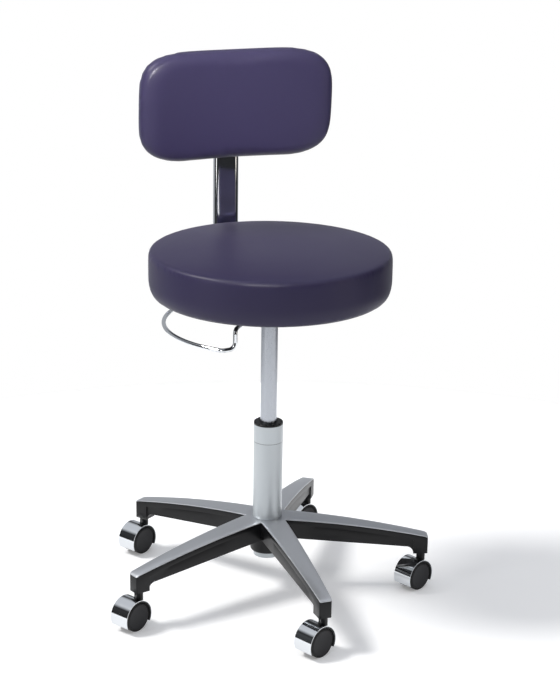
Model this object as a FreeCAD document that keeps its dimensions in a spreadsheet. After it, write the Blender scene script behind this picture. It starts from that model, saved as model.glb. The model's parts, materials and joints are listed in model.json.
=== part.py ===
import FreeCAD, Part
import math
import os
import re
import Sketcher
from FreeCAD import Placement, Rotation, Vector

# Height-adjustable operator stool: a five-star base on swivelling twin-wheel casters, a gas
# spring column, a round seat with a release lever under it, and a backrest on a chromed post.
# Origin: on the column axis, at the floor. +Z is up, the sitter faces -Y, the backrest is at +Y.

SIZES = {
    # five-star base
    "hub_top": 132,
    "hub_bottom": 69,
    "hub_radius": 29,
    "hub_waist": 104,
    "arm_reach": 281,
    "arm_root_half": 21.7,
    "arm_tip_half": 10.9,
    "arm_corner": 2.8,
    "arch_start": 38,
    "arch_end": 276,
    "arch_end_height": 95.8,
    "arch_radius": 1824,
    "nose_drop": 3.4,
    "cover_gauge": 2,
    "lip_depth": 10.5,
    "web_inset": 2.4,
    "web_root_height": 97,
    "web_end": 242,
    "web_end_height": 75.4,
    "boss_inner": 256,
    "boss_bottom": 62.5,
    "boss_sweep": 13,
    # casters
    "stem_circle": 270,
    "stem_radius": 5.5,
    "stem_top": 86,
    "stem_neck": 4,
    "socket_radius": 5.56,
    "socket_top": 87.2,
    "ring_bottom": 78,
    "ring_depth": 3,
    "ring_inner": 4.88,
    "groove_radius": 4.8,
    "wheel_radius": 25,
    "wheel_inner": 2.8,
    "wheel_outer": 17.5,
    "trail": 18,
    "horn_radius": 7.5,
    "horn_top": 62.2,
    "neck_bottom": 49.2,
    "fender_inner": 25.8,
    "fender_outer": 28.5,
    "fender_half": 17.8,
    "hood_inner": 28.6,
    "hood_outer": 29.5,
    "hood_half": 18.3,
    "web_half": 2.2,
    "web_floor": 15,
    "axle_radius": 3,
    "axle_half": 15.4,
    "axle_bore": 3.05,
    # column and gas spring
    "column_radius": 25,
    "column_bore": 23,
    "column_top": 301.4,
    "column_bottom": 60,
    "taper_radius": 23.25,
    "taper_top": 130,
    "floor_gauge": 4,
    "rod_hole": 5.9,
    "band_bottom": 269.3,
    "band_skin": 0.15,
    "bush_bottom": 225,
    "bush_lip": 3.6,
    "bush_bore": 14.06,
    "notch_floor": 1.4,
    "notch_reach": 4,
    "notch_width": 2.2,
    "cylinder_radius": 14,
    "cylinder_bore": 12.5,
    "cylinder_bottom": 235,
    "cylinder_top": 515,
    "cone_bottom": 478,
    "cone_top_radius": 13.2,
    "gland": 12,
    "gland_bore": 5.06,
    "rod_radius": 5,
    "rod_bottom": 53,
    "rod_top": 285,
    "piston_radius": 12.42,
    "piston_depth": 10,
    "shoulder_radius": 8,
    "bearing_radius": 13,
    "bearing_depth": 7,
    "bump_top": 85,
    "clip_radius": 10,
    "clip_gauge": 1.5,
    "clip_mouth": 4.8,
    "button_radius": 3.5,
    "button_bore": 3.56,
    "button_bottom": 503.2,
    "button_top": 521.4,
    # seat
    "seat_radius": 203.3,
    "seat_bottom": 532.5,
    "seat_top": 611,
    "seat_crown": 3,
    "seat_round": 9,
    "pan_radius": 190,
    "pan_gauge": 12,
    "plate_gauge": 3,
    "plate_half_width": 78,
    "plate_half_depth": 92,
    "cheek_inner": 20,
    "cheek_gauge": 3,
    "cheek_rear": 44,
    "cheek_front": 62,
    "channel_bottom": 497,
    "holder_radius": 18,
    "holder_top": 511,
    "bolt_x": 62,
    "bolt_y": 72,
    "bolt_radius": 3,
    "bolt_head": 5.5,
    "bolt_head_depth": 4,
    # release lever
    "lever_wire": 3.5,
    "lever_bore": 3.56,
    "pivot_x": -50,
    "pivot_height": 514,
    "loop_height": 482,
    "loop_radius": 178,
    "loop_half_angle": 41,
    "loop_run": 12,
    "lever_foot_x": -103,
    "lever_foot_y": 121,
    "lever_elbow_y": 52,
    "lever_bend": 11,
    "lever_crook": 7,
    "finger_half": 11.5,
    "finger_tip": 7,
    "finger_bottom": 521.9,
    "finger_gauge": 4,
    # back post and backrest
    "post_axis": 234,
    "post_width": 45,
    "post_depth": 20,
    "post_corner": 9.5,
    "post_wall": 2,
    "post_start": 46,
    "post_top": 886,
    "post_bend": 42,
    "sleeve_gap": 0.12,
    "sleeve_width": 53,
    "sleeve_depth": 27,
    "sleeve_bottom": 776,
    "sleeve_top": 848,
    "back_centre": 820,
    "back_plane": 214,
    "back_lean": 4,
    "back_width": 346,
    "back_height": 186,
    "back_corner": 62,
    "back_curve": 1200,
    "back_board": 9,
    "back_pad": 33,
    "board_inset": 12,
    "knob_radius": 17,
    "knob_depth": 17,
    "knob_start": 251,
    "flute_radius": 6,
    "flute_offset": 3,
    "stud_radius": 4,
    "screw_x": 35,
    "screw_rise": 22,
    "screw_radius": 2.4,
    "screw_head": 4.5,
    "screw_head_depth": 3,
    "screw_length": 13,
    "pilot_radius": 3.4,
}

ARM_COUNT = 5
ARM_STEP = 360 / ARM_COUNT
ARM_ANGLES = [-90 + ARM_STEP * k for k in range(ARM_COUNT)]
# Each caster trails on its own heading; this is the direction from the wheel centre to the stem.
CASTER_HEADINGS = [24.7, 24.5, 27.0, 30.0, 29.5]
# The hood covers the wheels from the front, over the top, to low behind them.
HOOD_FROM, HOOD_TO = -29, 204
BUSH_NOTCHES = 12
KNOB_FLUTES = 7

doc = FreeCAD.newDocument("operator_stool")
sheet = doc.addObject("Spreadsheet::Sheet", "Dimensions")
for row, (alias, number) in enumerate(SIZES.items(), start=1):
    sheet.set(f"A{row}", alias)
    sheet.set(f"B{row}", str(number))
    sheet.setAlias(f"B{row}", alias)
doc.recompute()

WORD = re.compile(r"[a-z][a-z_]*[a-z]")
nodes = []


def with_sizes(text, wording):
    """The expression with every size name in it reworded, and every other word left alone."""
    def reword(match):
        word = match.group()
        return wording(word) if word in SIZES else word
    return WORD.sub(reword, str(text))


def bound(text):
    """The expression text with every size name pointing at its spreadsheet cell."""
    return with_sizes(text, lambda word: f"Dimensions.{word}")


def value(text):
    """The number that a size expression gives."""
    return FreeCAD.Units.Quantity(with_sizes(text, lambda word: f"({sheet.get(word)})")).Value


def bind(obj, **sizes):
    """Drive an object's properties from size expressions."""
    for name, text in sizes.items():
        obj.setExpression(name, bound(text))
    return obj


def node(obj, label, placement=None):
    """Name a finished sub-part, and put it in its place."""
    obj.Label = label
    if placement is not None:
        obj.Placement = placement
    nodes.append(obj)
    return obj


def outline(sketch, corners):
    """Draw a closed outline through corners (x, y) or (x, y, radius, turn).

    The last two make the edge that ends at that corner an arc: turn is 1 anticlockwise, -1 clockwise.
    """
    spots = [Vector(value(c[0]), value(c[1]), 0) for c in corners]
    ends = []
    for index, corner in enumerate(corners):
        start, end = spots[index - 1], spots[index]
        if len(corner) == 2:
            edge = sketch.addGeometry(Part.LineSegment(start, end), False)
            ends.append((edge, 1, 2))
            continue
        radius, turn = value(corner[2]), corner[3]
        chord = end - start
        rise = math.sqrt(max(radius ** 2 - chord.Length ** 2 / 4, 0))
        across = Vector(-chord.y, chord.x, 0) * (turn * rise / chord.Length)
        centre = (start + end) * 0.5 + across
        first, last = (start, end) if turn > 0 else (end, start)
        angles = [math.atan2(p.y - centre.y, p.x - centre.x) for p in (first, last)]
        circle = Part.Circle(centre, Vector(0, 0, 1), radius)
        edge = sketch.addGeometry(Part.ArcOfCircle(circle, angles[0], angles[1]), False)
        ends.append((edge, 1, 2) if turn > 0 else (edge, 2, 1))
        held = sketch.addConstraint(Sketcher.Constraint("Radius", edge, radius))
        sketch.setExpression(f"Constraints[{held}]", bound(corner[2]))
    for index, corner in enumerate(corners):
        edge, _, last = ends[index]
        following, first, _ = ends[(index + 1) % len(corners)]
        sketch.addConstraint(Sketcher.Constraint("Coincident", edge, last, following, first))
        for kind, axis, text, spot in (("DistanceX", -2, corner[0], spots[index].x),
                                       ("DistanceY", -1, corner[1], spots[index].y)):
            if str(text) == "0":
                sketch.addConstraint(Sketcher.Constraint("PointOnObject", edge, last, axis))
                continue
            held = sketch.addConstraint(Sketcher.Constraint(kind, -1, 1, edge, last, spot))
            sketch.setExpression(f"Constraints[{held}]", bound(text))


def plane_sketch(body, role, name):
    """An empty sketch on one of the body's own origin planes."""
    sketch = body.newObject("Sketcher::SketchObject", name)
    plane = next(feature for feature in body.Origin.OriginFeatures if feature.Role == role)
    sketch.AttachmentSupport = [(plane, "")]
    sketch.MapMode = "FlatFace"
    return sketch


def body_sketch(body, role, corners):
    """A sketch with one closed outline on one of the body's own origin planes."""
    sketch = plane_sketch(body, role, body.Name + "_outline")
    outline(sketch, corners)
    return sketch


def turned(name, corners, role="XZ_Plane"):
    """A body turned about Z from an outline in radius and height, or about Y on the XY plane."""
    body = doc.addObject("PartDesign::Body", name)
    sketch = body_sketch(body, role, corners)
    turn = body.newObject("PartDesign::Revolution", name + "_turn")
    turn.Profile = (sketch, [""])
    turn.ReferenceAxis = (sketch, ["V_Axis"])
    turn.Angle = 360
    sketch.Visibility = False
    return body


def plate(name, role, corners, length, midplane=False):
    """A body padded from an outline on an origin plane."""
    body = doc.addObject("PartDesign::Body", name)
    sketch = body_sketch(body, role, corners)
    pad = body.newObject("PartDesign::Pad", name + "_pad")
    pad.Profile = (sketch, [""])
    pad.Midplane = midplane
    bind(pad, Length=length)
    return body


def repeated_cut(body, sketch, width, axis, count):
    """Cut an outline through the body, to both sides of its plane, and repeat the cut round an axis."""
    pocket = body.newObject("PartDesign::Pocket", sketch.Name + "_cut")
    pocket.Profile = (sketch, [""])
    pocket.Midplane = True
    bind(pocket, Length=width)
    ring = body.newObject("PartDesign::PolarPattern", sketch.Name + "_ring")
    ring.Originals = [pocket]
    ring.Axis = (sketch, [axis])
    ring.Angle = 360
    ring.Occurrences = count
    body.Tip = ring


def rod(name, radius, height, x="0", y="0", z="0", along="Z"):
    """A Part cylinder that starts at a point and runs along Z or Y."""
    turns = {"Z": Rotation(), "Y": Rotation(Vector(1, 0, 0), -90)}
    made = doc.addObject("Part::Cylinder", name)
    made.Placement = Placement(Vector(), turns[along])
    return bind(made, Radius=radius, Height=height, **{
        "Placement.Base.x": x, "Placement.Base.y": y, "Placement.Base.z": z})


def block(name, low, high):
    """A Part box between two corners."""
    made = doc.addObject("Part::Box", name)
    spans = [f"({b}) - ({a})" for a, b in zip(low, high)]
    return bind(made, Length=spans[0], Width=spans[1], Height=spans[2], **{
        "Placement.Base.x": low[0], "Placement.Base.y": low[1], "Placement.Base.z": low[2]})


def fused(name, *pieces):
    """The pieces joined into one solid."""
    made = doc.addObject("Part::MultiFuse", name)
    made.Shapes = list(pieces)
    made.Refine = True
    return made


def less(name, whole, *tools):
    """The whole without the tools."""
    made = doc.addObject("Part::Cut", name)
    made.Base = whole
    made.Tool = tools[0] if len(tools) == 1 else fused(name + "_tools", *tools)
    made.Refine = True
    return made


def shared(name, *pieces):
    """The space that all the pieces share."""
    made = doc.addObject("Part::MultiCommon", name)
    made.Shapes = list(pieces)
    made.Refine = True
    return made


def arc_path(points, radii):
    """A wire of straight runs joined by tangent arcs, one radius for each inner point."""
    edges = []
    last = points[0]
    for before, corner, after, radius in zip(points, points[1:], points[2:], radii):
        into = (before - corner).normalize()
        out = (after - corner).normalize()
        half = (math.pi - into.getAngle(out)) / 2
        back = radius * math.tan(half)
        start, end = corner + into * back, corner + out * back
        bisector = (into + out).normalize()
        middle = corner + bisector * (radius / math.cos(half) - radius)
        if (start - last).Length > 1e-4:
            edges.append(Part.LineSegment(last, start).toShape())
        edges.append(Part.Arc(start, middle, end).toShape())
        last = end
    edges.append(Part.LineSegment(last, points[-1]).toShape())
    return Part.Wire(edges)


def polar(radius, angle, height=0.0):
    """A point at a radius and an angle in degrees about Z."""
    turn = math.radians(angle)
    return Vector(radius * math.cos(turn), radius * math.sin(turn), height)


# ---------------------------------------------------------------- five-star base

def star(name, inset):
    """The plan of the base, five tapered arms meeting in valleys, drawn in by inset, as a tall prism."""
    sketch = doc.addObject("Sketcher::SketchObject", name + "_plan")
    corners = []
    for angle in ARM_ANGLES:
        turn = math.radians(angle)
        c, s = math.cos(turn), math.sin(turn)

        def at(along, side):
            return (f"({along}) * {c:.9f} - ({side}) * {s:.9f}",
                    f"({along}) * {s:.9f} + ({side}) * {c:.9f}")
        end = f"arm_reach - {inset}"
        wide = f"arm_tip_half - {inset}"
        corners.append(at(f"{end} - arm_corner", f"-({wide})"))
        corners.append(at(end, f"-({wide}) + arm_corner") + ("arm_corner", 1))
        corners.append(at(end, f"{wide} - arm_corner"))
        corners.append(at(f"{end} - arm_corner", wide) + ("arm_corner", 1))
        valley = math.radians(angle + ARM_STEP / 2)
        reach = f"(arm_root_half - {inset}) / {math.sin(math.radians(ARM_STEP / 2)):.9f}"
        corners.append((f"{reach} * {math.cos(valley):.9f}", f"{reach} * {math.sin(valley):.9f}"))
    outline(sketch, corners)
    prism = doc.addObject("Part::Extrusion", name)
    prism.Base = sketch
    prism.DirMode = "Custom"
    prism.Dir = Vector(0, 0, 1)
    prism.Solid = True
    return bind(prism, LengthFwd="hub_top + 10")


def arch(drop):
    """The arched top line of an arm, lowered by drop, from the hub out to the tip."""
    return [("arch_start", f"hub_top - {drop}"),
            ("arch_end", f"arch_end_height - {drop}", "arch_radius", -1),
            ("arm_reach + 2", f"arch_end_height - nose_drop - {drop}")]


def base():
    """The star: a ribbed black casting in one piece, and the polished plate let into its top."""
    full, narrow = star("star_full", "0"), star("star_narrow", "web_inset")
    cover_dome = turned("cover_dome", [("column_radius + 0.1", "hub_top")] + arch("0") + [
        ("arm_reach + 2", "arch_end_height - nose_drop - cover_gauge"),
        ("arch_end", "arch_end_height - cover_gauge"),
        ("arch_start", "hub_top - cover_gauge", "arch_radius", 1),
        ("column_radius + 0.1", "hub_top - cover_gauge")])
    node(shared("base_top_cover", full, cover_dome), "base_top_cover")

    lip_dome = turned("lip_dome", [("0", "hub_top - cover_gauge")] + arch("cover_gauge") + [
        ("arm_reach + 2", "boss_bottom"),
        ("boss_inner", "boss_bottom"),
        ("boss_inner", "arch_end_height - lip_depth + 3"),
        ("arch_start", "hub_top - lip_depth", "arch_radius", 1),
        ("0", "hub_top - lip_depth")])
    web_dome = turned("web_dome", [("0", "web_root_height"),
                                   ("hub_radius", "web_root_height"),
                                   ("web_end", "web_end_height"),
                                   ("boss_inner", "boss_bottom", "boss_sweep", -1),
                                   ("boss_inner + 6", "boss_bottom"),
                                   ("boss_inner + 6", "arch_end_height - lip_depth + 4"),
                                   ("arch_start", "hub_top - lip_depth + 2"),
                                   ("0", "hub_top - lip_depth + 2")])
    hub = turned("hub", [("0", "hub_bottom"), ("hub_radius - 4", "hub_bottom"),
                         ("hub_radius", "hub_bottom + 4", "4", 1), ("hub_radius + 1.5", "hub_waist"),
                         ("0", "hub_waist")])
    star_solid = fused("star_solid", shared("lip", full, lip_dome), shared("web", narrow, web_dome), hub)
    bore = turned("column_seat", [
        ("0", "column_bottom"), ("taper_radius", "column_bottom"), ("column_radius", "taper_top"),
        ("column_radius", "hub_top + 2"), ("0", "hub_top + 2")])
    tools = [bore]
    for index, angle in enumerate(ARM_ANGLES, start=1):
        way = polar(1, angle)
        tools.append(rod(f"caster_socket_{index}", "socket_radius", "socket_top - boss_bottom + 1",
                         f"stem_circle * {way.x:.9f}", f"stem_circle * {way.y:.9f}", "boss_bottom - 1"))
    node(less("base_casting", star_solid, *tools), "base_casting")


# ---------------------------------------------------------------- column and gas spring

def column():
    """The tube, its bush, and the gas spring: the rod is held below and the cylinder rises round it."""
    node(turned("column_tube", [
        ("rod_hole", "column_bottom"), ("taper_radius", "column_bottom"), ("column_radius", "taper_top"),
        ("column_radius", "column_top"), ("column_bore", "column_top"),
        ("column_bore", "taper_top"), ("taper_radius - 2", "column_bottom + floor_gauge"),
        ("rod_hole", "column_bottom + floor_gauge")]), "column_tube")
    node(turned("column_band", [
        ("column_radius", "band_bottom"), ("column_radius + band_skin", "band_bottom"),
        ("column_radius + band_skin", "column_top"), ("column_radius", "column_top")]), "column_band")

    bush = turned("guide_bush", [
        ("bush_bore", "bush_bottom"), ("column_bore", "bush_bottom"), ("column_bore", "column_top"),
        ("column_radius", "column_top"), ("column_radius", "column_top + bush_lip - 0.8"),
        ("column_radius - 0.8", "column_top + bush_lip"), ("bush_bore + 1", "column_top + bush_lip"),
        ("bush_bore", "column_top + bush_lip - 1")])
    notch = plane_sketch(bush, "XZ_Plane", "bush_notch")
    outline(notch, [
        ("column_radius - notch_reach", "column_top + notch_floor"),
        ("column_radius + 1", "column_top + notch_floor"),
        ("column_radius + 1", "column_top + bush_lip + 1"),
        ("column_radius - notch_reach", "column_top + bush_lip + 1")])
    repeated_cut(bush, notch, "notch_width", "V_Axis", BUSH_NOTCHES)
    node(bush, "guide_bush")

    seat_of_bearing = "column_bottom + floor_gauge"
    node(turned("thrust_bearing", [
        ("gland_bore", seat_of_bearing), ("bearing_radius", seat_of_bearing),
        ("bearing_radius", f"{seat_of_bearing} + 2"), ("bearing_radius - 1.5", f"{seat_of_bearing} + 2.6"),
        ("bearing_radius - 1.5", f"{seat_of_bearing} + bearing_depth - 2.6"),
        ("bearing_radius", f"{seat_of_bearing} + bearing_depth - 2"),
        ("bearing_radius", f"{seat_of_bearing} + bearing_depth"),
        ("gland_bore", f"{seat_of_bearing} + bearing_depth")]), "thrust_bearing")

    collar = f"{seat_of_bearing} + bearing_depth"
    clip_low = "column_bottom - 3"
    node(turned("piston_rod", [
        ("0", "rod_bottom"), ("rod_radius - 0.8", "rod_bottom"), ("rod_radius", "rod_bottom + 0.8"),
        ("rod_radius", clip_low), ("rod_radius - 1", clip_low),
        ("rod_radius - 1", f"{clip_low} + clip_gauge"), ("rod_radius", f"{clip_low} + clip_gauge"),
        ("rod_radius", f"{collar} + 0.1"), ("shoulder_radius", f"{collar} + 0.1"),
        ("shoulder_radius", f"{collar} + 3"), ("rod_radius", f"{collar} + 3"),
        ("rod_radius", "rod_top - piston_depth"), ("0", "rod_top - piston_depth")]), "piston_rod")
    node(turned("piston", [
        ("0", "rod_top - piston_depth"), ("piston_radius - 1", "rod_top - piston_depth"),
        ("piston_radius", "rod_top - piston_depth + 1"), ("piston_radius", "rod_top - 1"),
        ("piston_radius - 1", "rod_top"), ("0", "rod_top")]), "piston")
    node(turned("bump_stop", [
        ("rod_radius", f"{collar} + 3"), ("shoulder_radius + 2", f"{collar} + 3"),
        ("shoulder_radius + 3", f"{collar} + 6"), ("shoulder_radius + 1", "bump_top"),
        ("rod_radius", "bump_top")]), "bump_stop")
    clip = turned("clip_ring", [
        ("rod_radius - 1", clip_low), ("clip_radius", clip_low),
        ("clip_radius", f"{clip_low} + clip_gauge"), ("rod_radius - 1", f"{clip_low} + clip_gauge")])
    mouth = block("clip_split", ("0", "-clip_mouth / 2", f"{clip_low} - 1"),
                  ("clip_radius + 1", "clip_mouth / 2", f"{clip_low} + clip_gauge + 1"))
    node(less("split_clip", clip, mouth), "retaining_clip")

    node(turned("gas_cylinder", [
        ("gland_bore", "cylinder_bottom"), ("cylinder_radius - 1", "cylinder_bottom"),
        ("cylinder_radius", "cylinder_bottom + 1"), ("cylinder_radius", "cone_bottom"),
        ("cone_top_radius", "cylinder_top"), ("button_bore", "cylinder_top"),
        ("button_bore", "button_bottom - 6.2"), ("0", "button_bottom - 6.2"),
        ("0", "button_bottom - 14"), ("cylinder_bore", "button_bottom - 14"),
        ("cylinder_bore", "cylinder_bottom + gland"), ("gland_bore", "cylinder_bottom + gland")]),
        "gas_cylinder")
    node(turned("release_button", [
        ("0", "button_bottom"), ("button_radius", "button_bottom"),
        ("button_radius", "button_top - 1.2"), ("button_radius - 1.2", "button_top"),
        ("0", "button_top")]), "release_button")


# ---------------------------------------------------------------- seat and its mechanism

BOLT_SIDES = [(1, 1), (-1, 1), (-1, -1), (1, -1)]


def seat():
    """The round cushion on its pan, and the steel plate and channel that carry it on the cylinder."""
    under = "seat_bottom - plate_gauge"
    cone_slope = "(cylinder_radius - cone_top_radius) / (cylinder_top - cone_bottom)"
    node(turned("seat_holder", [
        ("cylinder_radius", "cone_bottom"), ("holder_radius - 1", "cone_bottom"),
        ("holder_radius", "cone_bottom + 1"), ("holder_radius", "holder_top"),
        (f"cone_top_radius + {cone_slope} * (cylinder_top - holder_top)", "holder_top")]), "seat_holder")

    top = block("mechanism_top", ("-plate_half_width", "-plate_half_depth", under),
                ("plate_half_width", "plate_half_depth", "seat_bottom"))
    cheeks = [block(f"mechanism_cheek_{side}", ("-cheek_front", low, "channel_bottom"),
                    ("cheek_rear", high, under + " + 0.5"))
              for side, low, high in (("left", "cheek_inner", "cheek_inner + cheek_gauge"),
                                      ("right", "-cheek_inner - cheek_gauge", "-cheek_inner"))]
    floor = block("mechanism_floor", ("-cheek_rear", "-cheek_inner - 1", "channel_bottom"),
                  ("cheek_rear", "cheek_inner + 1", "channel_bottom + cheek_gauge"))
    frame = fused("mechanism_frame", top, floor, *cheeks)
    holes = [rod("holder_hole", "holder_radius", "cheek_gauge + 2", z="channel_bottom - 1"),
             rod("pivot_hole", "lever_bore", "2 * cheek_inner + 20", "pivot_x", "-cheek_inner - 10",
                 "pivot_height", along="Y")]
    holes += [rod(f"plate_hole_{k}", "bolt_radius", "plate_gauge + 2", f"{sx} * bolt_x", f"{sy} * bolt_y",
                  under + " - 1") for k, (sx, sy) in enumerate(BOLT_SIDES, start=1)]
    node(less("mechanism", frame, *holes), "seat_mechanism")

    pan = rod("pan_disc", "pan_radius", "pan_gauge", z="seat_bottom")
    pan_holes = [rod(f"pan_hole_{k}", "bolt_radius", "pan_gauge - 2", f"{sx} * bolt_x", f"{sy} * bolt_y",
                     "seat_bottom - 1") for k, (sx, sy) in enumerate(BOLT_SIDES, start=1)]
    node(less("seat_pan_drilled", pan, *pan_holes), "seat_pan")
    bolts = []
    for k, (sx, sy) in enumerate(BOLT_SIDES, start=1):
        x, y = f"{sx} * bolt_x", f"{sy} * bolt_y"
        head = rod(f"bolt_head_{k}", "bolt_head", "bolt_head_depth", x, y, under + " - bolt_head_depth")
        shank = rod(f"bolt_shank_{k}", "bolt_radius", "plate_gauge + pan_gauge - 4", x, y, under)
        bolts.append(fused(f"bolt_{k}", head, shank))
    group = doc.addObject("Part::Compound", "seat_bolt_set")
    group.Links = bolts
    node(group, "seat_bolts")

    recess = "pan_radius + 0.3"
    cushion = turned("seat_cushion", [
        ("0", "seat_bottom + pan_gauge"), (recess, "seat_bottom + pan_gauge"), (recess, "seat_bottom"),
        ("seat_radius - seat_round", "seat_bottom"),
        ("seat_radius", "seat_bottom + seat_round", "seat_round", 1),
        ("seat_radius", "seat_top - seat_round"),
        ("seat_radius - seat_round", "seat_top", "seat_round", 1),
        ("0", "seat_top + seat_crown")])
    node(cushion, "seat_cushion")


def lever():
    """The wire loop under the sitter's right hand, bent from one rod, with a finger over the button."""
    reach, low, high = value("loop_radius"), value("loop_height"), value("pivot_height")
    half_angle, pivot_x = value("loop_half_angle"), value("pivot_x")
    run_on = polar(reach, 180 + half_angle, low) + polar(value("loop_run"), 270 + half_angle)
    outer = polar(reach / math.cos(math.radians(half_angle)), 180, low)
    foot = Vector(value("lever_foot_x"), -value("lever_foot_y"), low)
    head = Vector(foot.x, foot.y, high)
    elbow = Vector(pivot_x, -value("lever_elbow_y"), high)
    end = Vector(pivot_x, -value("finger_half"), high)
    half = [end, elbow, head, foot, run_on]
    points = half + [outer] + [Vector(p.x, -p.y, p.z) for p in reversed(half)]
    bend = value("lever_bend")
    bends = [bend, value("lever_crook"), bend, bend - 1]
    path = arc_path(points, bends + [reach] + bends[::-1])
    wire = Part.Wire(Part.makeCircle(value("lever_wire"), end, Vector(0, -1, 0)))
    sweep = doc.addObject("Part::Feature", "release_lever")
    sweep.Shape = path.makePipeShell([wire], True, True)
    node(sweep, "release_lever")

    pivot, tip = "pivot_x", "finger_tip"
    hub = rod("finger_hub", "lever_wire + 2.5", "2 * finger_half", pivot, "-finger_half", "pivot_height",
              along="Y")
    neck = block("finger_neck", (f"{pivot} - 3", "-finger_half", "pivot_height"),
                 (f"{pivot} + 3", "finger_half", "finger_bottom + finger_gauge"))
    blade = block("finger_blade", (f"{pivot} - 3", "-6", "finger_bottom"),
                  (tip, "6", "finger_bottom + finger_gauge"))
    node(fused("finger", hub, neck, blade), "lever_finger")


# ---------------------------------------------------------------- back post and backrest

def soft_rectangle(name, width, depth, corner, bottom, height, middle="0"):
    """An upright bar of rectangular section with round corners, centred at y = middle."""
    w, d = f"({width}) / 2", f"({depth}) / 2"
    return plate(name, "XY_Plane", [
        (f"{w} - ({corner})", f"{middle} - {d}"), (w, f"{middle} - {d} + ({corner})", corner, 1),
        (w, f"{middle} + {d} - ({corner})"), (f"{w} - ({corner})", f"{middle} + {d}", corner, 1),
        (f"-({w}) + ({corner})", f"{middle} + {d}"), (f"-({w})", f"{middle} + {d} - ({corner})", corner, 1),
        (f"-({w})", f"{middle} - {d} + ({corner})"),
        (f"-({w}) + ({corner})", f"{middle} - {d}", corner, 1)],
        f"({bottom}) + ({height})")


def post_section(width, depth, corner, centre):
    """The post's section as a wire, standing in the XZ plane round a point."""
    w, d = width / 2, depth / 2
    spots = []
    for sx, sz in ((1, -1), (1, 1), (-1, 1), (-1, -1)):
        side, end = Vector(sx * w, 0, sz * (d - corner)), Vector(sx * (w - corner), 0, sz * d)
        knee = Vector(sx * (w - corner * (1 - math.sqrt(0.5))), 0, sz * (d - corner * (1 - math.sqrt(0.5))))
        spots.append((side, knee, end) if sx * sz > 0 else (end, knee, side))
    edges = []
    for index, (start, knee, end) in enumerate(spots):
        edges.append(Part.Arc(centre + start, centre + knee, centre + end).toShape())
        following = spots[(index + 1) % len(spots)][0]
        edges.append(Part.LineSegment(centre + end, centre + following).toShape())
    return Part.Wire(edges)


def post():
    """The chromed flat-oval tube that runs back under the seat and up behind it."""
    level = value("seat_bottom") - value("plate_gauge") - value("post_depth") / 2
    axis, start = value("post_axis"), value("post_start")
    foot = Vector(0, start, level)
    knee, head = Vector(0, axis, level), Vector(0, axis, value("post_top"))
    path = arc_path([foot, knee, head], [value("post_bend")])
    wall = value("post_wall")
    width, depth, corner = value("post_width"), value("post_depth"), value("post_corner")
    outer = path.makePipeShell([post_section(width, depth, corner, foot)], True, False)
    inner = path.makePipeShell(
        [post_section(width - 2 * wall, depth - 2 * wall, corner - wall, foot)], True, False)
    tube = doc.addObject("Part::Feature", "back_post")
    tube.Shape = outer.cut(inner)
    node(tube, "back_post")

    lid = soft_rectangle("cap_lid", "post_width", "post_depth", "post_corner", "0", "2.5")
    plug = soft_rectangle("cap_plug", "post_width - 2 * post_wall", "post_depth - 2 * post_wall",
                          "post_corner - post_wall", "0", "12")
    plug.Placement = Placement(Vector(0, 0, -12), Rotation())
    node(fused("post_cap", lid, plug), "post_cap", Placement(head, Rotation()))


def curved_slab(name, inset, near, far):
    """A slab bent round the sitter between two distances behind the pad's front, corners rounded.

    Its own frame has the middle of the backrest's front face at y = 0.
    """
    wide, tall = f"back_width - 2 * ({inset})", f"back_height - 2 * ({inset})"
    ring = less(name + "_ring",
                rod(name + "_outer", f"back_curve + {far}", f"({tall}) + 2", y="-back_curve",
                    z=f"-({tall}) / 2 - 1"),
                rod(name + "_inner", f"back_curve + {near}", f"({tall}) + 4", y="-back_curve",
                    z=f"-({tall}) / 2 - 2"))
    w, t, c = f"({wide}) / 2", f"({tall}) / 2", f"back_corner - {inset}"
    face = plate(name + "_face", "XZ_Plane", [
        (f"{w} - ({c})", f"-({t})"), (w, f"-({t}) + ({c})", c, 1), (w, f"{t} - ({c})"),
        (f"{w} - ({c})", t, c, 1), (f"-({w}) + ({c})", t), (f"-({w})", f"{t} - ({c})", c, 1),
        (f"-({w})", f"-({t}) + ({c})"), (f"-({w}) + ({c})", f"-({t})", c, 1)],
        "4 * back_pad", midplane=True)
    return shared(name, ring, face)


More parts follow.
